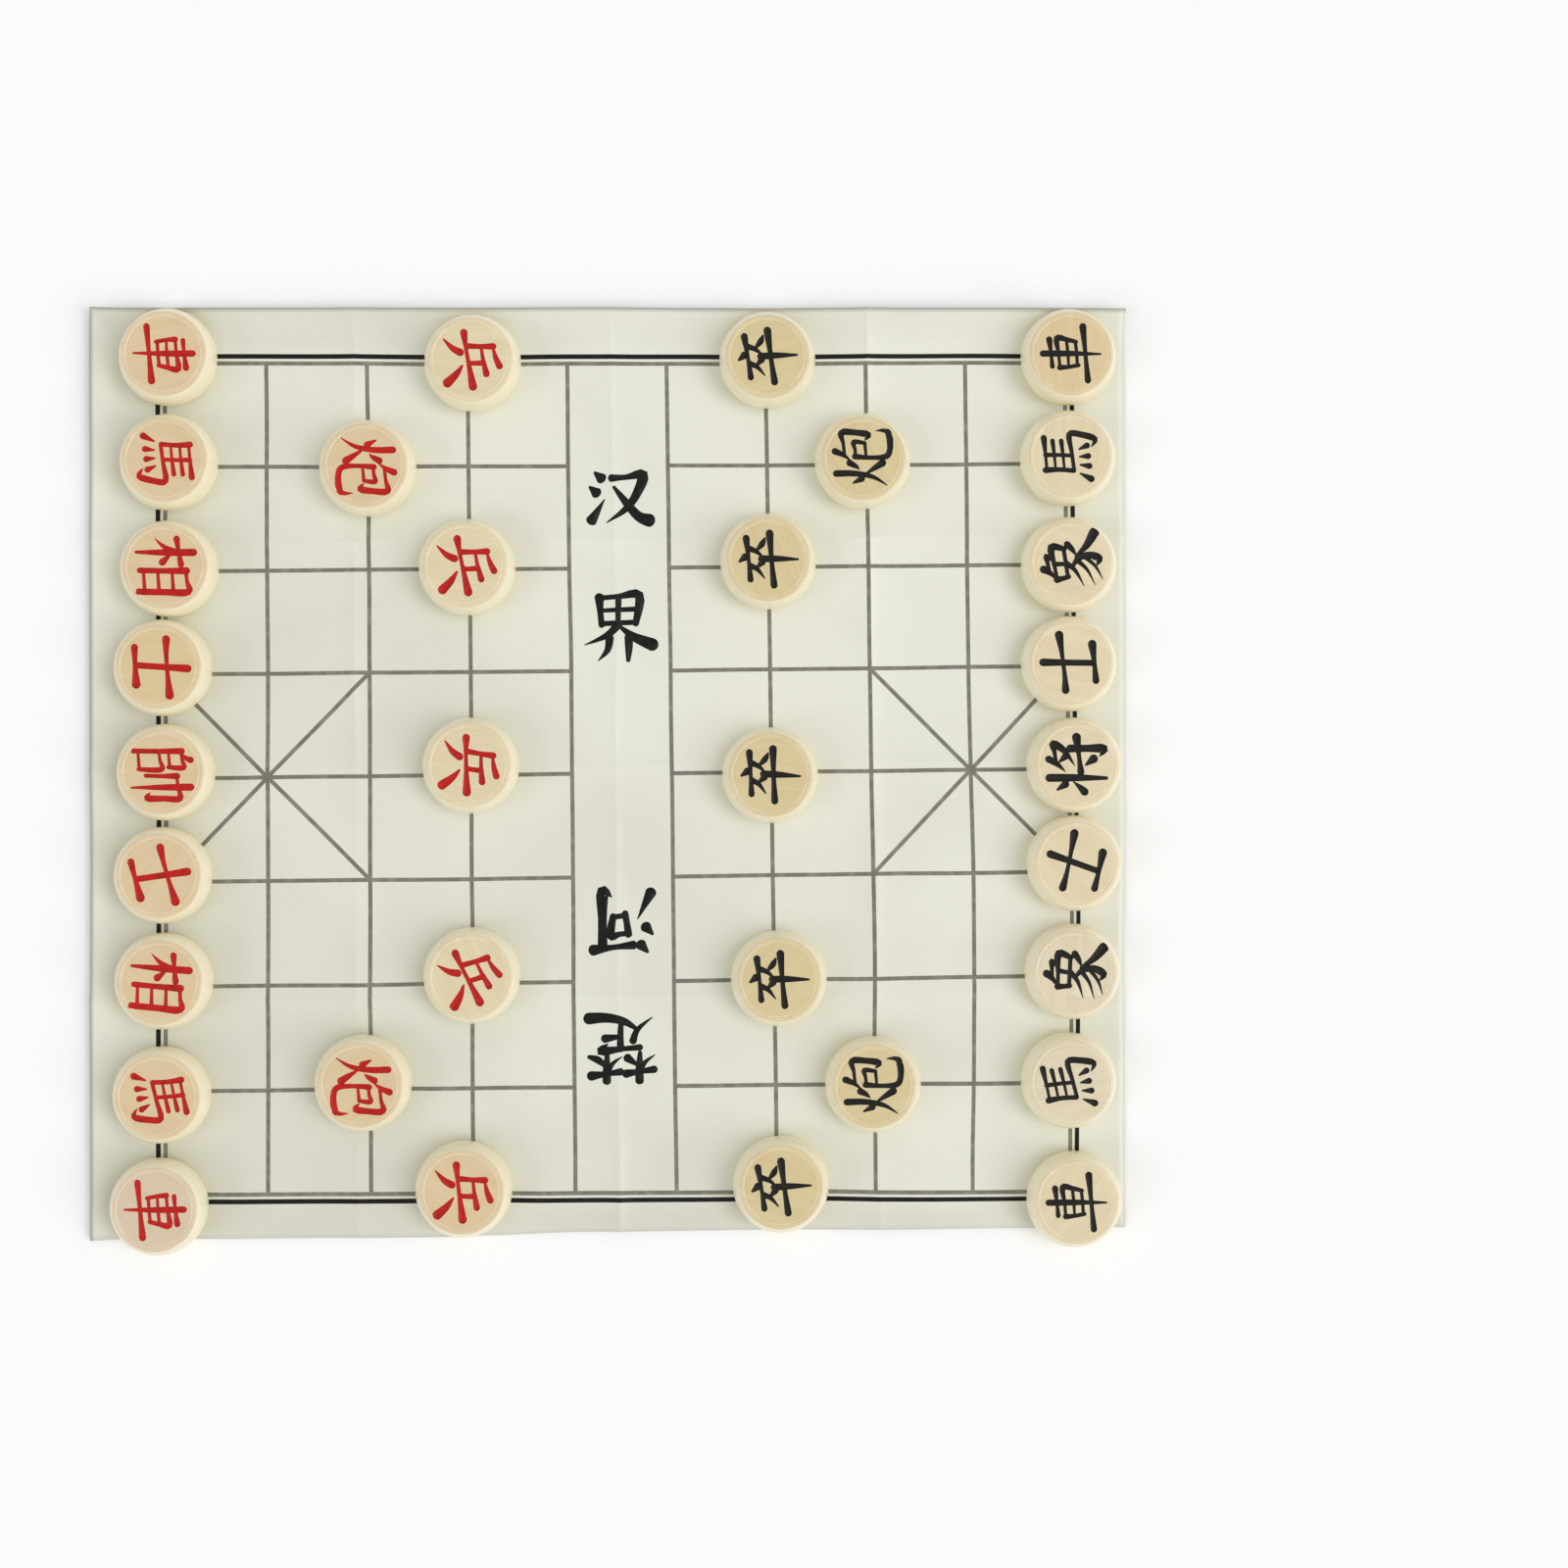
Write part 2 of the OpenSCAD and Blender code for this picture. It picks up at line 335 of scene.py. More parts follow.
# Strokes of the marks, in writing order. A stroke is a row of points on a square of 100 by 100,
# each with the width that the brush has there.
strokes = {
    "soldierRed": [
        [(64, 98, 8), (48, 92, 6), (27, 88, 2)],
        [(30, 89, 8), (29, 68, 6), (27, 46, 7)],
        [(31, 69, 4), (52, 71, 5), (76, 75, 8)],
        [(57, 71, 7), (57, 58, 6), (56, 47, 6)],
        [(4, 41, 9), (30, 43, 5), (64, 47, 6), (96, 51, 10)],
        [(37, 33, 9), (29, 20, 7), (13, 6, 2)],
        [(60, 35, 3), (74, 24, 8), (88, 8, 11)],
    ],
    "soldierBlack": [
        [(47, 99, 4), (54, 90, 10)],
        [(16, 81, 8), (50, 84, 5), (86, 88, 9)],
        [(39, 81, 8), (33, 69, 6), (18, 57, 2)],
        [(35, 71, 3), (45, 61, 9)],
        [(69, 84, 8), (63, 70, 6), (52, 58, 2)],
        [(65, 71, 3), (76, 61, 8), (86, 56, 3)],
        [(6, 41, 9), (50, 45, 6), (94, 48, 10)],
        [(51, 62, 9), (51, 35, 8), (50, 0, 3)],
    ],
    "horse": [
        [(25, 93, 9), (26, 70, 7), (24, 45, 7)],
        [(26, 91, 5), (50, 93, 5), (80, 96, 9)],
        [(28, 76, 4), (50, 78, 5), (75, 81, 7)],
        [(28, 61, 4), (50, 63, 5), (75, 66, 7)],
        [(51, 93, 7), (51, 72, 6), (50, 48, 6)],
        [(24, 44, 6), (55, 48, 6), (86, 52, 9), (86, 32, 9), (78, 8, 9), (64, 15, 1)],
        [(19, 33, 3), (10, 15, 10)],
        [(34, 33, 3), (32, 18, 9)],
        [(48, 34, 3), (49, 20, 9)],
        [(61, 35, 3), (67, 22, 9)],
    ],
    "chariot": [
        [(28, 83, 7), (50, 85, 5), (74, 88, 9)],
        [(26, 70, 8), (27, 55, 6), (30, 38, 6)],
        [(26, 70, 5), (50, 72, 5), (76, 75, 9), (74, 58, 7), (70, 42, 6)],
        [(30, 55, 4), (50, 56, 5), (70, 58, 5)],
        [(30, 40, 5), (50, 41, 5), (70, 43, 5)],
        [(4, 22, 9), (50, 26, 6), (96, 30, 10)],
        [(50, 99, 9), (50, 50, 8), (49, 0, 3)],
    ],
    "elephantRed": [
        [(3, 70, 8), (24, 73, 5), (46, 77, 8)],
        [(26, 98, 9), (26, 50, 8), (25, 2, 4)],
        [(25, 70, 7), (17, 50, 6), (2, 33, 1)],
        [(30, 59, 3), (42, 46, 9)],
        [(57, 86, 9), (57, 50, 7), (56, 8, 7)],
        [(57, 85, 5), (75, 87, 5), (93, 89, 9), (93, 50, 8), (92, 6, 8)],
        [(59, 62, 4), (90, 64, 5)],
        [(59, 38, 4), (90, 40, 5)],
        [(58, 14, 4), (90, 16, 5)],
    ],
    "advisor": [
        [(3, 60, 10), (30, 62, 6), (66, 67, 6), (97, 72, 11)],
        [(50, 99, 10), (50, 60, 8), (50, 14, 8)],
        [(20, 8, 9), (50, 11, 6), (82, 15, 11)],
    ],
    "generalRed": [
        [(30, 99, 9), (26, 90, 6), (18, 84, 2)],
        [(15, 84, 9), (15, 45, 7), (14, 3, 7)],
        [(16, 83, 5), (30, 85, 5), (43, 87, 8), (42, 62, 6)],
        [(17, 62, 4), (41, 64, 5)],
        [(17, 46, 4), (31, 48, 5), (46, 50, 8), (45, 12, 6)],
        [(17, 11, 4), (44, 13, 5)],
        [(57, 76, 9), (57, 50, 6), (56, 24, 6)],
        [(57, 76, 5), (76, 78, 5), (95, 81, 9), (95, 55, 8), (94, 26, 9), (84, 32, 1)],
        [(76, 99, 10), (76, 50, 8), (76, 0, 3)],
    ],
    "generalBlack": [
        [(8, 84, 3), (17, 71, 9)],
        [(4, 38, 9), (12, 46, 6), (22, 58, 1)],
        [(28, 98, 9), (28, 50, 8), (27, 0, 4)],
        [(60, 99, 8), (51, 84, 6), (38, 70, 1)],
        [(57, 87, 5), (72, 89, 5), (86, 91, 9), (74, 72, 7), (48, 54, 1)],
        [(56, 80, 3), (64, 71, 8)],
        [(38, 44, 8), (65, 47, 5), (97, 51, 10)],
        [(78, 62, 9), (78, 34, 8), (77, 4, 10), (64, 12, 1)],
        [(50, 35, 3), (60, 22, 10)],
    ],
    "cannon": [
        [(8, 68, 3), (15, 54, 9)],
        [(42, 74, 9), (36, 63, 6), (30, 57, 1)],
        [(24, 97, 9), (24, 66, 8), (18, 34, 6), (2, 8, 1)],
        [(24, 46, 3), (33, 32, 7), (42, 18, 10)],
        [(62, 99, 9), (55, 84, 6), (44, 70, 1)],
        [(56, 83, 5), (76, 85, 5), (94, 88, 9), (94, 64, 8), (90, 42, 9), (80, 49, 1)],
        [(54, 64, 5), (66, 65, 5), (78, 67, 7), (76, 48, 5)],
        [(54, 46, 4), (76, 48, 5)],
        [(53, 65, 8), (51, 38, 6), (53, 12, 8), (66, 5, 8), (88, 6, 9), (97, 12, 7), (97, 30, 1)],
    ],
    "elephantBlack": [
        [(44, 99, 9), (36, 88, 6), (22, 77, 1)],
        [(42, 90, 5), (54, 91, 5), (66, 92, 7), (56, 82, 2)],
        [(24, 78, 8), (25, 68, 6), (27, 58, 6)],
        [(24, 78, 5), (50, 80, 5), (80, 82, 9), (75, 60, 6)],
        [(51, 80, 6), (49, 60, 5)],
        [(27, 59, 5), (75, 61, 5)],
        [(50, 59, 7), (36, 45, 5), (8, 33, 1)],
        [(42, 50, 4), (56, 38, 7), (60, 18, 8), (52, 2, 9), (40, 8, 1)],
        [(54, 41, 6), (36, 25, 4), (8, 14, 1)],
        [(58, 27, 5), (40, 10, 4), (16, 0, 1)],
        [(82, 54, 8), (72, 46, 6), (60, 40, 1)],
        [(60, 42, 3), (76, 22, 8), (97, 6, 12)],
    ],
    "riverChu": [
        [(4, 82, 7), (24, 85, 5), (44, 88, 8)],
        [(25, 99, 8), (25, 78, 7), (24, 56, 4)],
        [(24, 82, 6), (16, 70, 4), (3, 60, 1)],
        [(28, 75, 3), (42, 64, 8)],
        [(52, 85, 7), (72, 88, 5), (94, 91, 9)],
        [(72, 99, 8), (72, 78, 7), (71, 56, 4)],
        [(71, 85, 6), (63, 72, 4), (50, 62, 1)],
        [(74, 77, 3), (84, 67, 7), (97, 62, 4)],
        [(24, 48, 6), (50, 50, 5), (80, 53, 9), (70, 42, 1)],
        [(52, 50, 7), (52, 30, 6), (51, 10, 5)],
        [(53, 31, 4), (74, 34, 8)],
        [(34, 38, 7), (27, 20, 5), (6, 2, 1)],
        [(26, 22, 3), (46, 8, 7), (72, 2, 9), (97, 3, 11)],
    ],
    "riverHe": [
        [(12, 94, 3), (22, 84, 10)],
        [(4, 68, 3), (14, 58, 10)],
        [(6, 8, 10), (15, 24, 6), (27, 46, 1)],
        [(34, 84, 8), (66, 87, 5), (98, 91, 10)],
        [(42, 68, 7), (44, 54, 6), (47, 38, 6)],
        [(42, 67, 5), (56, 68, 5), (70, 70, 8), (66, 42, 6)],
        [(47, 41, 5), (66, 43, 5)],
        [(83, 88, 9), (83, 46, 8), (82, 6, 11), (68, 14, 1)],
    ],
    "riverHan": [
        [(12, 94, 3), (22, 84, 10)],
        [(4, 68, 3), (14, 58, 10)],
        [(6, 8, 10), (15, 24, 6), (27, 46, 1)],
        [(38, 84, 7), (62, 86, 5), (88, 90, 10), (78, 56, 8), (60, 28, 6), (30, 4, 1)],
        [(42, 68, 3), (60, 42, 7), (80, 16, 9), (98, 8, 12)],
    ],
    "riverJie": [
        [(24, 96, 9), (25, 76, 6), (27, 54, 6)],
        [(24, 95, 5), (50, 97, 5), (80, 99, 9), (75, 56, 6)],
        [(27, 76, 4), (76, 78, 5)],
        [(51, 96, 6), (50, 57, 5)],
        [(27, 56, 5), (75, 58, 5)],
        [(50, 54, 8), (34, 38, 6), (3, 24, 1)],
        [(52, 52, 3), (72, 36, 8), (98, 24, 12)],
        [(38, 34, 8), (35, 16, 6), (22, 0, 1)],
        [(65, 35, 8), (65, 18, 7), (64, 0, 4)],
    ],
}

brush = {
    "square": 100,  # the drawing square of the strokes
    "steps": 4,  # rings between two points of a stroke
    "roundEnd": (78, 50, 25),  # degrees at which an end gets a ring
    "sides": 3,  # bevel resolution of the tube
    "thinnest": 0.02 * mm,  # half width
}
# how heavy each mark is drawn, as a share of the widths above
weights = {
    "soldierRed": 1.5, "soldierBlack": 1.4, "horse": 1.25, "chariot": 1.28, "elephantRed": 1.45,
    "advisor": 1.4, "generalRed": 1.3, "generalBlack": 1.6, "cannon": 1.35, "elephantBlack": 1.55,
    "riverChu": 1.5, "riverHe": 1.55, "riverHan": 1.55, "riverJie": 1.5,
}


def strokeRings(stroke, size, weight):
    # centre and half width of every ring of one brush stroke, its round ends included
    unit, middle = size / brush["square"], brush["square"] / 2
    points = [Vector(((x - middle) * unit, (y - middle) * unit, width * unit * weight / 2))
              for x, y, width in stroke]
    rings = []
    for number in range(len(points) - 1):
        before = points[max(number - 1, 0)]
        after = points[min(number + 2, len(points) - 1)]
        for step in range(brush["steps"]):
            rings.append(passedBy(before, points[number], points[number + 1], after, step / brush["steps"]))
    rings.append(points[-1])
    first, last = rings[0], rings[-1]
    start = (rings[0] - rings[1]).to_2d().normalized()
    finish = (rings[-1] - rings[-2]).to_2d().normalized()
    for angle in map(math.radians, reversed(brush["roundEnd"])):
        reach, half = math.sin(angle), math.cos(angle)
        rings.insert(0, Vector((*(first.to_2d() + start * first.z * reach), first.z * half)))
        rings.append(Vector((*(last.to_2d() + finish * last.z * reach), last.z * half)))
    return rings


def brushTool(name, tall, placings):
    # A solid for every stroke of every mark. A mark's placing is its strokes' name, its size and a
    # matrix, and a stroke is as many times its half width tall as the second value says.
    curve = bpy.data.curves.new(name, "CURVE")
    curve.dimensions = "3D"
    curve.bevel_depth = 1.0
    curve.bevel_resolution = brush["sides"]
    curve.use_fill_caps = True
    curve.twist_mode = "Z_UP"
    for mark, size, place in placings:
        for stroke in strokes[mark]:
            rings = strokeRings(stroke, size, weights[mark])
            spline = curve.splines.new("POLY")
            spline.points.add(len(rings) - 1)
            for point, ring in zip(spline.points, rings):
                point.co = (*(place @ Vector((ring.x, ring.y, 0))), 1)
                point.radius = max(ring.z, brush["thinnest"])
    tool = bpy.data.objects.new(name, curve)
    bpy.context.scene.collection.objects.link(tool)
    bpy.context.view_layer.update()
    mesh = bpy.data.meshes.new_from_object(tool.evaluated_get(bpy.context.evaluated_depsgraph_get()))
    bpy.data.objects.remove(tool)
    bm = bmesh.new()
    bm.from_mesh(mesh)
    level = placings[0][2].translation.z
    for vert in bm.verts:
        vert.co.z = level + (vert.co.z - level) * tall
    bmesh.ops.remove_doubles(bm, verts=bm.verts[:], dist=together)
    bmesh.ops.recalc_face_normals(bm, faces=bm.faces[:])
    bm.to_mesh(mesh)
    bm.free()
    tool = bpy.data.objects.new(name, mesh)
    bpy.context.scene.collection.objects.link(tool)
    return tool


def cutWith(worked, tool, operation):
    # the worked object's mesh after a boolean with the tool, which is then removed
    change = worked.modifiers.new("cut", "BOOLEAN")
    change.object, change.operation, change.solver = tool, operation, "EXACT"
    change.use_self, change.material_mode = True, "TRANSFER"
    bpy.context.view_layer.update()
    mesh = bpy.data.meshes.new_from_object(worked.evaluated_get(bpy.context.evaluated_depsgraph_get()))
    bpy.data.objects.remove(worked)
    bpy.data.objects.remove(tool)
    return mesh


# the board's film and what is printed on it
film = {
    "thick": 0.15 * mm,
    "rest": 0.01 * mm,  # its underside lies this high above the floor
    "cell": 2.6 * mm,
    "foldsAcross": (-89.5 * mm, 0.0, 89.5 * mm),
    "foldsAlong": (-79 * mm, 0.0, 79 * mm),
    "foldLift": 0.9 * mm,
    "foldSpread": 7 * mm,
    "foldWander": 1.2 * mm,  # how far a fold strays from a straight line
    "foldStrength": (0.75, 0.6),  # of a fold's height, the even share and the share that varies along it
    "pinchLift": 0.25 * mm,
    "pinchSpread": 0.9 * mm,
    "pinchLeast": 0.3,  # the least strength of a fold's sharp crest
    "pinchCuts": (0.7 * mm, 1.6 * mm),
    "bulge": 0.7 * mm,
    "bulgeEven": 0.45,  # how far the film stands off the floor between the uneven places
    "held": (14.6 * mm, 27 * mm),  # flat up to the first distance from a piece, free from the second
    "curlReach": 11 * mm,
    "curlFree": (14.3 * mm, 18.5 * mm),
    "curl": {"left": 2.6 * mm, "right": 0.5 * mm, "back": 3.6 * mm, "front": 0.4 * mm},
    "curlPower": 1.5,  # how sharply the curl rises towards its edge
    "curlUneven": 0.3,  # how much the curl varies along its edge
    "curlPull": 0.3,  # how far the left edge drew in, as a share of its lift
    "marginShade": 0.24,  # painted shade: how much darker the front and back margins are painted
    "marginBlend": 6 * mm,
    "rimCuts": (0.7 * mm, 1.5 * mm),  # where the rim's painted shade is half and where it ends
    "wander": 0.22 * mm,
    # the uneven heights and shifts: waves per metre and the place in the noise
    "ripples": {"foldWander": (9, 3.1), "foldStrength": (17, 5.3), "bulge": (16, 0.4), "curl": (12, 8.8),
                "wanderX": (30, 5.5), "wanderY": (30, 9.5)},
}
# How the film was pulled out of square: a shift in mm and a lean in mm per metre, each a curve of
# the place in decimetres.
pulled = {
    "shiftX": (0.2, -0.18, -0.28),
    "leanX": (-4.0, -5.1, 3.0, 1.7),
    "shiftY": (0.86, -0.15, -0.66, 0.16),
    "leanY": (3.5, 0.4, -3.0, 0.3),
    "dip": (-145.7 * mm, 9 * mm, -4.5),  # where the front line leans more, how widely and how much
    # how many mm the left half of the front edge and the front half of the right edge are shifted
    # along Y and X, then where that begins and over what length it grows, first across the edge
    "frontPull": (-1.5, (-150 * mm, 8 * mm), (-12 * mm, 46 * mm)),
    "rightPull": (-0.8, (163 * mm, 14 * mm), (-10 * mm, 60 * mm)),
    "edges": {"left": -0.35, "right": -0.35, "back": 0.65, "front": 0.05},  # mm along X or Y
    # places where the print lies off to one side: x, y, reach, shift along X and Y, all in mm
    "tugs": ((142, -55, 38, 1.15, 0), (-70, 30, 70, 0.5, 0), (130, -150, 25, -0.6, 0),
             (30, 110, 100, 0, -0.4), (130, -130, 25, 0, -0.6)),
}
printed = {
    "rankPitch": 34.7 * mm, "filePitch": 35.8 * mm,
    "ranks": 10, "files": 9,
    "redMargin": 24.9 * mm, "blackMargin": 20.8 * mm,
    "backMargin": 17.8 * mm, "frontMargin": 12.8 * mm,
    "line": 1.42 * mm,
    "frameLine": 1.6 * mm, "frameOut": 2.4 * mm,
    "sliver": 0.05 * mm,  # the narrowest cell between two lines
    "riverSize": 25 * mm,
    "riverReach": 0.6,  # half of the film that a river character may cover, in shares of its size
    "riverTall": 40,  # height of the river characters' cutter, in half widths of a stroke
    # each mark's place off the middle line and along Y, its turn, and its width and height shares
    "riverMarks": (("riverHan", 0.2 * mm, 93.8 * mm, 0, 0.87, 0.77),
                   ("riverJie", -0.5 * mm, 48.7 * mm, 0, 0.98, 0.91),
                   ("riverHe", 0.5 * mm, -53.0 * mm, 180, 0.87, 0.95),
                   ("riverChu", -0.3 * mm, -96.9 * mm, 180, 0.96, 0.9)),
    "raise": 0.02 * mm,
    "cornerGap": 1.6 * mm, "cornerArm": 5.2 * mm, "cornerLine": 0.6 * mm,
    "cornerReach": 13 * mm, "cornerTall": 20 * mm,
}
rankX = [boardLow.x + printed["redMargin"] + rank * printed["rankPitch"]
         for rank in range(printed["ranks"])]
fileY = [boardHigh.y - printed["backMargin"] - file * printed["filePitch"]
         for file in range(printed["files"])]
standing = [(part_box(name)[0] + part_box(name)[1]) / 2 for name in pieceNodes]


def inkedAreas():
    # every printed bar: its left, front, right and back edges and the number of its coat
    half, out, thick = printed["line"] / 2, printed["frameOut"], printed["frameLine"] / 2
    areas = [(x - half, fileY[-1] - half, x + half, fileY[0] + half, 1) for x in rankX]
    for number, y in enumerate(fileY):
        whole = number in (0, len(fileY) - 1)
        for start, end in (((0, 9),) if whole else ((0, 4), (5, 9))):
            areas.append((rankX[start] - half, y - half, rankX[end] + half, y + half, 1))
    left, right, front, back = rankX[0] - out, rankX[-1] + out, fileY[-1] - out, fileY[0] + out
    areas += [(x - thick, front - thick, x + thick, back + thick, 2) for x in (left, right)]
    areas += [(left - thick, y - thick, right + thick, y + thick, 2) for y in (front, back)]
    return areas


def cutPlaces(low, high, fixed, cell):
    # the fixed places in order, and between them as many more as keep the cells small
    marks = [low]
    for place in sorted(fixed) + [high]:
        if place - marks[-1] < printed["sliver"]:
            continue
        count = max(1, round((place - marks[-1]) / cell))
        start = marks[-1]
        marks += [start + (place - start) * number / count for number in range(1, count + 1)]
    return marks


def easeIn(value):
    value = min(max(value, 0.0), 1.0)
    return value * value * (3 - 2 * value)


def ripple(name, x, y, layer=1, shift=0.0):
    # an uneven value above and below zero, the same at each run
    scale, depth = film["ripples"][name]
    return noise.noise(Vector((x * scale, y * scale, depth * layer + shift)))


def foldHeight(x, y):
    height = 0.0
    even, varied = film["foldStrength"]
    for folds, place, other in ((film["foldsAcross"], x, y), (film["foldsAlong"], y, x)):
        for number, fold in enumerate(folds):
            away = abs(place - fold + ripple("foldWander", other, number) * film["foldWander"])
            strength = even + varied * ripple("foldStrength", other, 0, number, folds[0])
            height += film["foldLift"] * strength * math.exp(-away / film["foldSpread"])
            crest = max(strength, film["pinchLeast"])
            height += film["pinchLift"] * crest * math.exp(-away / film["pinchSpread"])
    return height


def curlHeight(x, y):
    height = 0.0
    for side, away, along in (("left", x - boardLow.x, y), ("right", boardHigh.x - x, y),
                              ("front", y - boardLow.y, x), ("back", boardHigh.y - y, x)):
        share = max(0.0, 1 - away / film["curlReach"])
        uneven = 1 + film["curlUneven"] * ripple("curl", along, 0)
        height = math.hypot(height, film["curl"][side] * share ** film["curlPower"] * uneven)
    return height


def curveAt(name, place):
    return sum(share * (place * 10) ** power for power, share in enumerate(pulled[name]))


def filmPlace(x, y):
    # where a point of the flat print lies on the film as it was spread out
    near = min(math.hypot(x - spot.x, y - spot.y) for spot in standing)
    inner, outer = film["held"]
    free = easeIn((near - inner) / (outer - inner))
    bulge = film["bulge"] * max(0.0, film["bulgeEven"] + ripple("bulge", x, y))
    sideways = (curveAt("shiftX", x) + curveAt("leanX", x) * y) * mm
    lift = free * (foldHeight(x, y) + bulge)
    inner, outer = film["curlFree"]
    curl = easeIn((near - inner) / (outer - inner)) * curlHeight(x, y)
    lift += curl
    if x < boardLow.x + film["curlReach"]:
        sideways += film["curlPull"] * curl
    dipAt, dipWide, dip = pulled["dip"]
    dip *= math.exp(-((y - dipAt) / dipWide) ** 2)
    upward = (curveAt("shiftY", y) + (curveAt("leanY", y) + dip) * x) * mm
    pull, (startY, lengthY), (startX, lengthX) = pulled["frontPull"]
    share = easeIn((startY - y) / lengthY) * easeIn((startX - x) / lengthX)
    upward += pull * mm * share
    pull, (startX, lengthX), (startY, lengthY) = pulled["rightPull"]
    share = easeIn((x - startX) / lengthX) * easeIn((startY - y) / lengthY)
    sideways += pull * mm * share
    outside = {
        "left": easeIn((rankX[0] - x) / printed["redMargin"]),
        "right": easeIn((x - rankX[-1]) / printed["blackMargin"]),
        "back": easeIn((y - fileY[0]) / printed["backMargin"]),
        "front": easeIn((fileY[-1] - y) / printed["frontMargin"]),
    }
    edges = pulled["edges"]
    sideways += (edges["left"] * outside["left"] + edges["right"] * outside["right"]) * mm
    upward += (edges["back"] * outside["back"] + edges["front"] * outside["front"]) * mm
    for tugX, tugY, reach, alongX, alongY in pulled["tugs"]:
        away = math.hypot(x / mm - tugX, y / mm - tugY) / reach
        share = math.exp(-away * away / 2) * (1 - max(outside.values()))
        sideways += alongX * share * mm
        upward += alongY * share * mm
    sideways += film["wander"] * ripple("wanderX", x, y)
    upward += film["wander"] * ripple("wanderY", x, y)
    return Vector((x + sideways, y + upward, film["rest"] + film["thick"] + lift))


def flatPrint():
    # a flat grid whose cells end where the printed lines do
    areas = inkedAreas()
    creases = [0.0] + [side * cut for cut in film["pinchCuts"] for side in (-1, 1)]
    across = [edge for area in areas for edge in (area[0], area[2])]
    along = [edge for area in areas for edge in (area[1], area[3])]
    across += [fold + cut for fold in film["foldsAcross"] for cut in creases]
    along += [fold + cut for fold in film["foldsAlong"] for cut in creases]
    across += [boardLow.x + cut for cut in film["rimCuts"]]
    along += [boardHigh.y - cut for cut in film["rimCuts"]]
    across = cutPlaces(boardLow.x, boardHigh.x, across, film["cell"])
    along = cutPlaces(boardLow.y, boardHigh.y, along, film["cell"])
    bm = bmesh.new()
    last = bm.verts.new((across[0], along[0], 0))
    for x in across[1:]:
        made = bmesh.ops.extrude_vert_indiv(bm, verts=[last])["verts"][0]
        made.co.x = x
        last = made
    row = bm.edges[:]
    for y in along[1:]:
        made = bmesh.ops.extrude_edge_only(bm, edges=row)["geom"]
        row = [part for part in made if isinstance(part, bmesh.types.BMEdge)]
        for vert in (part for part in made if isinstance(part, bmesh.types.BMVert)):
            vert.co.y = y
    for face in bm.faces:
        spot = face.calc_center_median()
        coats = [coat for left, front, right, back, coat in areas
                 if left < spot.x < right and front < spot.y < back]
        face.material_index = max(coats, default=0)
    for ranks in ((0, 2), (7, 9)):
        inkDiagonals(bm, rankX[ranks[0]], rankX[ranks[1]], fileY[5], fileY[3])
    return bm


def inkDiagonals(bm, left, right, front, back):
    # the two slanting lines of a palace, cut into its cells and given the coat of the grid lines
    middle = Vector(((left + right) / 2, (front + back) / 2, 0))
    half = printed["line"] / 2

    def inPalace(face):
        spot = face.calc_center_median()
        return left < spot.x < right and front < spot.y < back

    for side in (-1, 1):
        across = Vector((side * (back - front), right - left, 0)).normalized()
        for offset in (-half, half):
            palace = [face for face in bm.faces if inPalace(face)]
            parts = set(palace)
            for face in palace:
                parts.update(face.edges)
                parts.update(face.verts)
            bmesh.ops.bisect_plane(bm, geom=list(parts), dist=together, plane_no=across,
                                   plane_co=middle + across * offset)
        for face in bm.faces:
            if inPalace(face) and abs((face.calc_center_median() - middle).dot(across)) < half:
                face.material_index = 1


def spreadFilm():
    bm = flatPrint()
    rim, margin = bm.verts.layers.float.new("rim"), bm.verts.layers.float.new("margin")
    frontEnd, backEnd = fileY[-1] - printed["frameOut"], fileY[0] + printed["frameOut"]
    for vert in bm.verts:
        x, y = vert.co.x, vert.co.y
        # painted shade along the left and back edges
        vert[rim] = max(0.0, 1 - min(x - boardLow.x, boardHigh.y - y) / film["rimCuts"][1])
        # painted shade of the front and back margins
        vert[margin] = film["marginShade"] * easeIn(max(y - backEnd, frontEnd - y) / film["marginBlend"])
        vert.co = filmPlace(x, y)
    bmesh.ops.recalc_face_normals(bm, faces=bm.faces[:])
    if sum(face.normal.z for face in bm.faces) < 0:
        bmesh.ops.reverse_faces(bm, faces=bm.faces[:])
    bmesh.ops.triangulate(bm, faces=bm.faces[:])
    for face in bm.faces:
        face.smooth = True
    return meshOf(bm, "film")


def thicken(worked):
    wall = worked.modifiers.new("thickness", "SOLIDIFY")
    wall.thickness, wall.offset = film["thick"], -1


filmMesh = spreadFilm()
filmSheet = addPiece("film_sheet", filmMesh, "board", [filmWhite, inks["line ink"], inks["ink"]])
thicken(filmSheet)
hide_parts("board_sheet")
print("film spread,", len(filmMesh.polygons), "faces")


def printOnFilm(name, tool, coat, wanted):
    # what the tool cuts out of the film, raised a little, so that it follows every fold
    bm = bmesh.new()
    bm.from_mesh(filmMesh)
    outside = [face for face in bm.faces if not wanted(face.calc_center_median())]
    bmesh.ops.delete(bm, geom=outside, context="FACES")
    worked = bpy.data.objects.new(name, meshOf(bm, name))
    bpy.context.scene.collection.objects.link(worked)
    thicken(worked)
    mesh = cutWith(worked, tool, "INTERSECT")
    mesh.transform(Matrix.Translation((0, 0, printed["raise"])))
    mesh.materials.clear()
    return addPiece(name, mesh, "board", [inks[coat]])


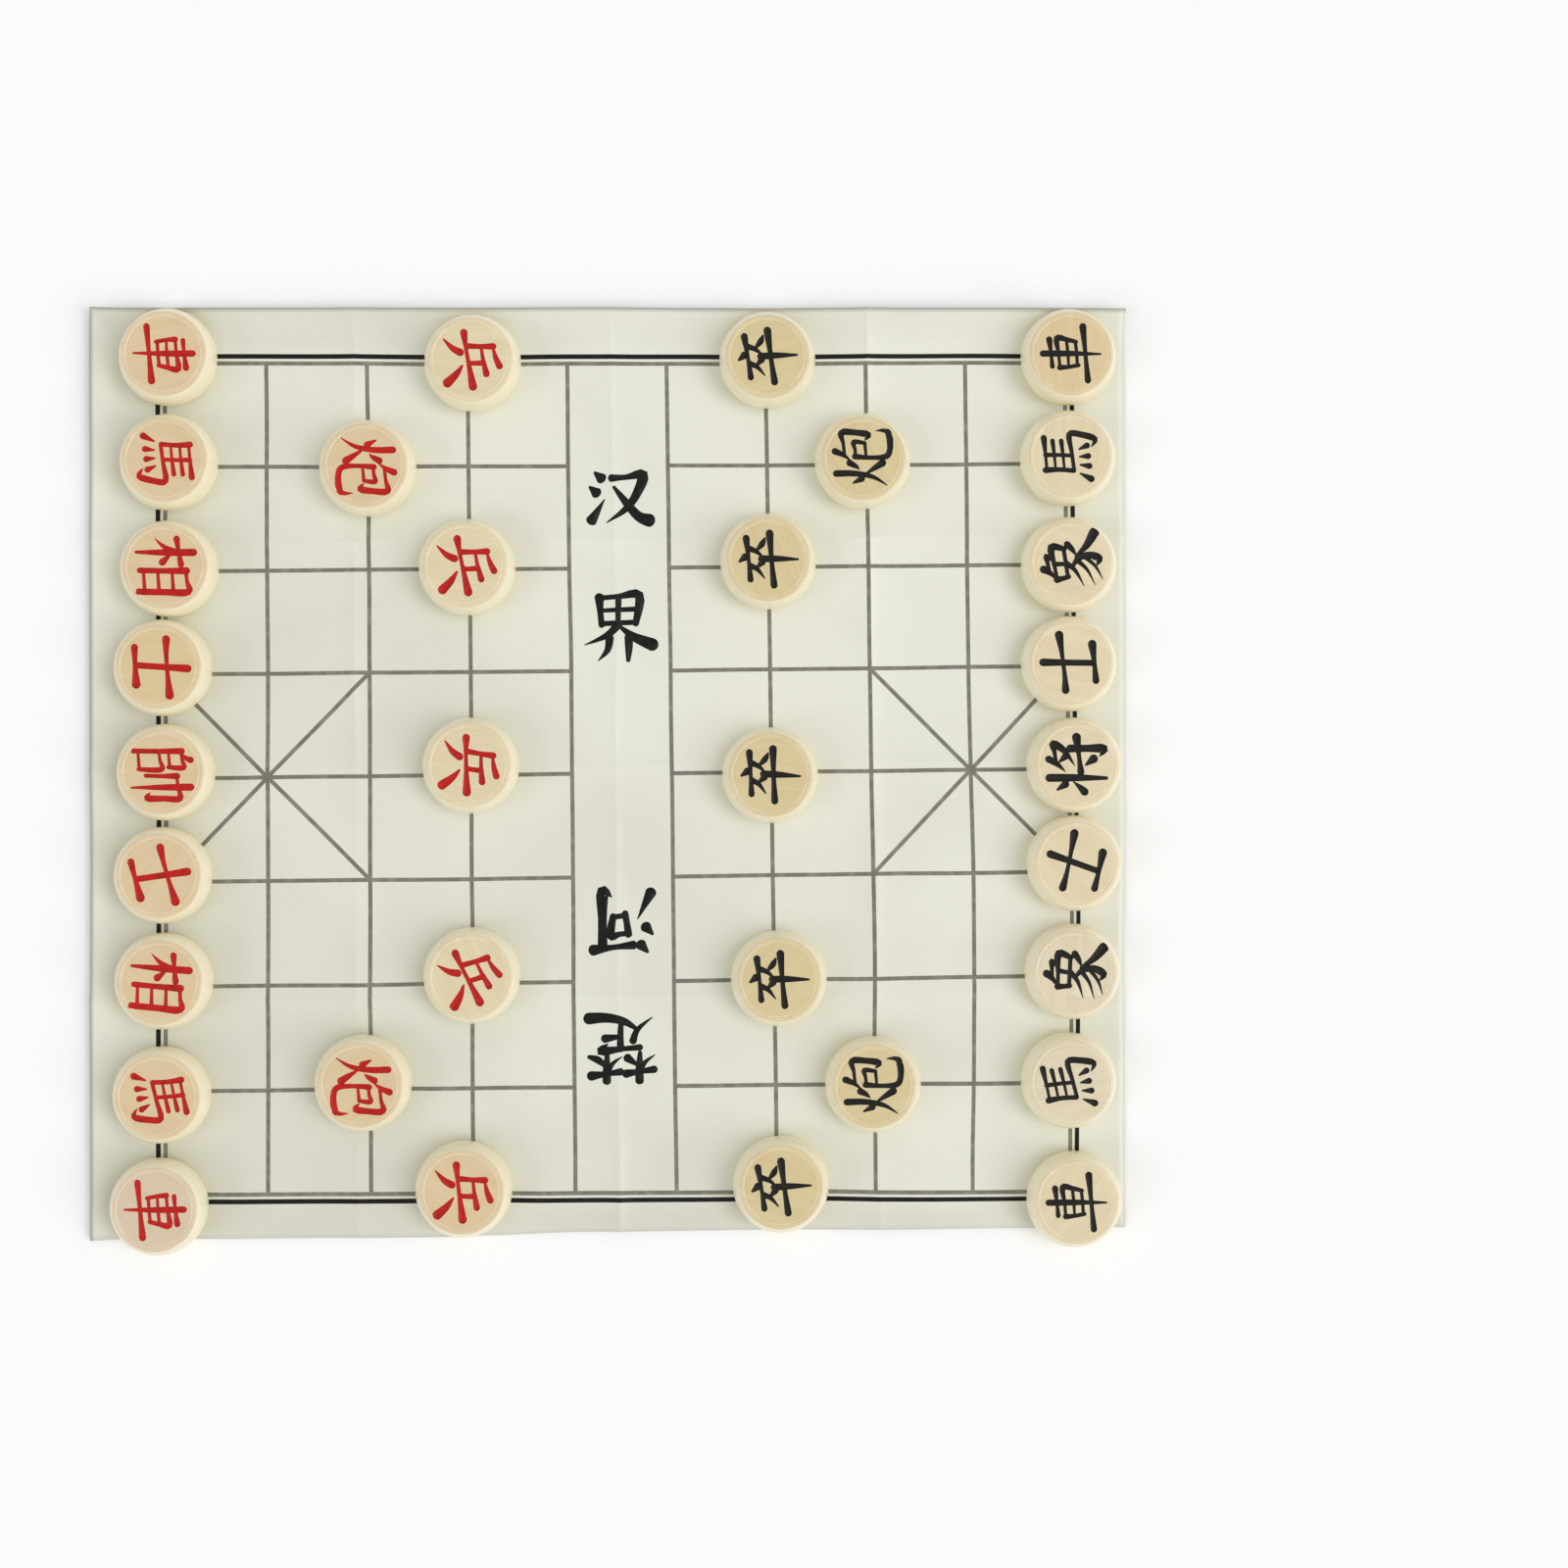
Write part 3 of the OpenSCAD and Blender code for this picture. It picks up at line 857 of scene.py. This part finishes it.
riverX = (rankX[4] + rankX[5]) / 2
riverReach = printed["riverReach"] * printed["riverSize"]
riverPlacings = [
    (mark, printed["riverSize"],
     Matrix.Translation((riverX + x, y, film["thick"])) @ Matrix.Rotation(math.radians(turn), 4, "Z")
     @ Matrix.Diagonal((wide, tall, 1, 1)))
    for mark, x, y, turn, wide, tall in printed["riverMarks"]
]
riverTool = brushTool("riverTool", printed["riverTall"], riverPlacings)
printOnFilm("river_characters", riverTool, "ink", lambda spot: abs(spot.x - riverX) < riverReach
            and any(abs(spot.y - row[2]) < riverReach for row in printed["riverMarks"]))
print("river characters printed")


def cornerTool():
    # two short bars beside the crossing in each quarter, for every cannon and soldier point
    bm = bmesh.new()
    arm, gap, wide = printed["cornerArm"], printed["cornerGap"], printed["cornerLine"]
    tall = printed["cornerTall"]
    points = [(rank, file) for rank in (2, 7) for file in (1, 7)]
    points += [(rank, file) for rank in (3, 6) for file in (0, 2, 4, 6, 8)]
    for rank, file in points:
        for sideX in (-1, 1):
            for sideY in (-1, 1):
                if (file == 0 and sideY > 0) or (file == 8 and sideY < 0):
                    continue
                for long, short in ((arm, wide), (wide, arm)):
                    x = rankX[rank] + sideX * (gap + long / 2)
                    y = fileY[file] + sideY * (gap + short / 2)
                    shape = Matrix.Translation((x, y, 0)) @ Matrix.Diagonal((long, short, tall, 1))
                    bmesh.ops.create_cube(bm, size=1, matrix=shape)
    tool = bpy.data.objects.new("cornerTool", meshOf(bm, "cornerTool"))
    bpy.context.scene.collection.objects.link(tool)
    return tool, [Vector((rankX[rank], fileY[file], 0)) for rank, file in points]


cornerBars, cornerPoints = cornerTool()
printOnFilm("point_marks", cornerBars, "line ink",
            lambda spot: any((spot - point).to_2d().length < printed["cornerReach"]
                             for point in cornerPoints))
print("point marks printed")


def arcPoints(centreX, centreZ, radius, fromAngle, toAngle, steps):
    angles = [fromAngle + (toAngle - fromAngle) * step / steps for step in range(steps + 1)]
    return [(centreX + radius * math.cos(angle), centreZ + radius * math.sin(angle)) for angle in angles]


def turnedProfile():
    # from the ring groove outwards over the edge and down the wall to the lower face
    half, bulge, edge = turned["height"] / 2, turned["bulge"], turned["edge"]
    wallRadius = (half * half + bulge * bulge) / (2 * bulge)
    wallX = turned["radius"] - wallRadius
    edgeZ = half - edge
    edgeX = wallX + math.sqrt((wallRadius - edge) ** 2 - edgeZ ** 2)
    slope = math.atan2(edgeZ, edgeX - wallX)
    wide, deep = turned["ringWidth"] / 2, turned["ringDepth"]
    toolRadius = (wide * wide + deep * deep) / (2 * deep)
    opening = math.asin(wide / toolRadius)
    upper = arcPoints(edgeX, half + edgeZ, edge, math.pi / 2, slope, turned["edgeSteps"])
    wall = arcPoints(wallX, half, wallRadius, slope, -slope, 2 * turned["wallSteps"])
    lower = [(x, turned["height"] - z) for x, z in reversed(upper)]
    ring = arcPoints(turned["ringRadius"], turned["height"] + toolRadius - deep, toolRadius,
                     -math.pi / 2 - opening, -math.pi / 2 + opening, turned["ringSteps"])
    return ring + upper + wall[1:-1] + lower


def turnPiece():
    bm = bmesh.new()
    verts = [bm.verts.new((x, 0, z)) for x, z in turnedProfile()]
    edges = [bm.edges.new(pair) for pair in zip(verts, verts[1:])]
    bmesh.ops.spin(bm, geom=verts + edges, axis=(0, 0, 1), cent=(0, 0, 0), dvec=(0, 0, 0),
                   angle=2 * math.pi, steps=turned["steps"], use_merge=True, use_duplicate=False)
    bmesh.ops.remove_doubles(bm, verts=bm.verts[:], dist=together)
    bmesh.ops.holes_fill(bm, edges=[edge for edge in bm.edges if edge.is_boundary], sides=0)
    bmesh.ops.recalc_face_normals(bm, faces=bm.faces[:])
    return meshOf(bm, "turned")


engraving = {
    "size": 20 * mm,
    "depthShare": 0.42,  # depth of a stroke over its half width
    "raise": 0.05 * mm,  # the cutter's widest level above the face
    "coat": 0.04 * mm,  # thickness of the paint
    "sharp": 34,  # degrees past which an edge isn't smoothed
}
marks = {
    "red_chariot": "chariot", "red_horse": "horse", "red_elephant": "elephantRed", "red_advisor": "advisor",
    "red_general": "generalRed", "red_cannon": "cannon", "red_soldier": "soldierRed",
    "black_chariot": "chariot", "black_horse": "horse", "black_elephant": "elephantBlack",
    "black_advisor": "advisor", "black_general": "generalBlack", "black_cannon": "cannon",
    "black_soldier": "soldierBlack",
}
# how far a piece was set down turned, in degrees
turns = {
    "red_horse_2": 6, "red_elephant_2": -5, "red_advisor_1": -4, "red_advisor_2": 8,
    "red_soldier_1": 3, "red_soldier_2": 5, "red_soldier_3": -6, "red_soldier_4": 20,
    "black_soldier_1": 3, "black_soldier_3": -3, "black_soldier_5": 3, "black_horse_2": 7,
    "black_elephant_1": 6, "black_elephant_2": -6, "black_advisor_1": -1, "black_advisor_2": -20,
}
tones = {
    "red_advisor_1": "honey", "black_chariot_1": "honey", "red_chariot_2": "dusk", "red_soldier_5": "rose",
    "black_elephant_2": "ash", "black_horse_2": "ash",
    "red_soldier": "pale", "black_chariot": "pale", "black_horse": "pale", "black_elephant": "pale",
    "black_advisor": "pale", "black_general": "pale", "black_soldier": "amber", "black_cannon": "amber",
}


def engrave(mark):
    # the turned piece with its mark cut in, and the paint that lines the cut
    worked = bpy.data.objects.new("blank", turnPiece())
    bpy.context.scene.collection.objects.link(worked)
    place = Matrix.Translation((0, 0, turned["height"] + engraving["raise"]))
    tool = brushTool("cutter", engraving["depthShare"], [(mark, engraving["size"], place)])
    worked.data.materials.append(woods["pale"])
    tool.data.materials.append(inks["ink"])
    mesh = cutWith(worked, tool, "DIFFERENCE")
    coat = bmesh.new()
    coat.from_mesh(mesh)
    bmesh.ops.delete(coat, geom=[face for face in coat.faces if face.material_index == 0], context="FACES")
    for face in coat.faces:
        face.material_index = 0
    for polygon in mesh.polygons:
        polygon.material_index = 0
    coatMesh = meshOf(coat, mark)
    for made in (mesh, coatMesh):
        made.materials.clear()
        made.polygons.foreach_set("use_smooth", [True] * len(made.polygons))
        made.set_sharp_from_angle(angle=math.radians(engraving["sharp"]))
    return mesh, coatMesh


def layGrain(mesh, centre, angle, number):
    # flat coordinates over the piece, in shares of its radius, turned to its own grain direction
    turn = Matrix.Rotation(angle, 2)
    layer = mesh.uv_layers.new(name="turned")
    for loop in mesh.loops:
        spot = mesh.vertices[loop.vertex_index].co
        layer.data[loop.index].uv = turn @ ((spot.to_2d() - centre.to_2d()) / turned["radius"])
    shift = mesh.attributes.new("pieceNumber", "FLOAT", "POINT")
    shift.data.foreach_set("value", [number] * len(mesh.vertices))


engraved = {}
for number, name in enumerate(pieceNodes):
    kind = name.rstrip("_12345")
    color = kind.split("_")[0]
    mark = marks[kind]
    if mark not in engraved:
        engraved[mark] = engrave(mark)
        print("engraved", mark)
    low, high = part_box(name)
    centre = Vector(((low.x + high.x) / 2, (low.y + high.y) / 2, low.z))
    facing = -90 if color == "red" else 90
    place = Matrix.Translation(centre) @ Matrix.Rotation(math.radians(facing + turns.get(name, 0)), 4, "Z")
    body, coat = (mesh.copy() for mesh in engraved[mark])
    body.transform(place)
    coat.transform(place)
    layGrain(body, centre, random.uniform(0, math.pi), number * woodFinish["pieceStep"])
    wood = addPiece(name + "_turned", body, name, [woods[tones.get(name, tones.get(kind, "rose"))]])
    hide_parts(name)
    paintCoat = addPiece(name + "_mark", coat, name, [inks[color + " paint"]])
    layer = paintCoat.modifiers.new("coat", "SOLIDIFY")
    layer.thickness, layer.offset, layer.use_even_offset = engraving["coat"], 1, False
print("pieces engraved and painted")


studio = {
    "floor": (254, 254, 254),
    "floorBounce": 0.80,  # how much light the floor throws back onto the set
    "floorSize": 12,
    "floorDrop": 0.05 * mm,
    "ambient": 0.592,
    "white": 0.955,  # what the camera and reflections see of the surroundings
    "lean": 0.06,  # how much brighter the side that the key comes from is than the middle
    # soft lights: share of the light on a level surface, then height above the floor, direction
    # from +X and width of the light, all in degrees
    "lights": {"key": (0.117, 35, -22, 34), "left": (0.085, 35, -158, 34), "high": (0.18, 60, 0, 34)},
}


def layFloor():
    bm = bmesh.new()
    bmesh.ops.create_grid(bm, x_segments=1, y_segments=1, size=studio["floorSize"],
                          matrix=Matrix.Translation((0, 0, -studio["floorDrop"])))
    floor = bpy.data.objects.new("floor", meshOf(bm, "floor"))
    bpy.context.scene.collection.objects.link(floor)
    material = bpy.data.materials.new("pale floor")
    material.use_nodes = True
    tree = material.node_tree
    tree.nodes.clear()
    ray = addNode(tree, "LightPath")
    seen = addNode(tree, "Math", {0: ray.outputs["Is Camera Ray"], 1: ray.outputs["Is Glossy Ray"]},
                   operation="MAXIMUM")
    bounce = studio["floorBounce"]
    unseen = addNode(tree, "BsdfDiffuse", {"Color": (bounce, bounce, bounce, 1)})
    shown = addNode(tree, "BsdfDiffuse", {"Color": paint(*studio["floor"])})
    mixed = addNode(tree, "MixShader", {0: seen.outputs[0], 1: unseen.outputs[0], 2: shown.outputs[0]})
    output = addNode(tree, "OutputMaterial", {"Surface": mixed.outputs[0]})
    output.target = "ALL"
    floor.data.materials.append(material)


def lightStudio():
    world = bpy.data.worlds.new("studio")
    bpy.context.scene.world = world
    world.use_nodes = True
    tree = world.node_tree
    ray = addNode(tree, "LightPath")
    seen = addNode(tree, "Math", {0: ray.outputs["Is Camera Ray"], 1: ray.outputs["Is Glossy Ray"]},
                   operation="MAXIMUM")
    seen = addNode(tree, "Math", {0: seen.outputs[0], 1: ray.outputs["Is Transmission Ray"]},
                   operation="MAXIMUM")
    side = math.radians(studio["lights"]["key"][2])
    direction = addNode(tree, "TexCoord").outputs["Generated"]
    slope = (math.cos(side) * studio["lean"], math.sin(side) * studio["lean"], 0)
    toLight = addNode(tree, "VectorMath", {0: direction, 1: slope}, operation="DOT_PRODUCT").outputs["Value"]
    uneven = rescale(tree, toLight, -1, 1, 0, 2 * studio["ambient"])
    strength = addNode(tree, "Mix", {0: seen.outputs[0], 2: uneven, 3: studio["white"]})
    tree.links.new(strength.outputs[0], tree.nodes["Background"].inputs["Strength"])
    tree.nodes["Background"].inputs["Color"].default_value = (1, 1, 1, 1)
    for name, (share, *angles) in studio["lights"].items():
        height, side, wide = map(math.radians, angles)
        sun = bpy.data.lights.new(name, "SUN")
        sun.energy = share * math.pi / math.sin(height)
        sun.angle = wide
        lamp = bpy.data.objects.new(name, sun)
        level = math.cos(height)
        towards = Vector((math.cos(side) * level, math.sin(side) * level, math.sin(height)))
        lamp.rotation_mode = "QUATERNION"
        lamp.rotation_quaternion = towards.to_track_quat("Z", "Y")
        bpy.context.scene.collection.objects.link(lamp)


layFloor()
lightStudio()
bpy.context.scene.view_settings.view_transform = "Standard"
print("studio lit")
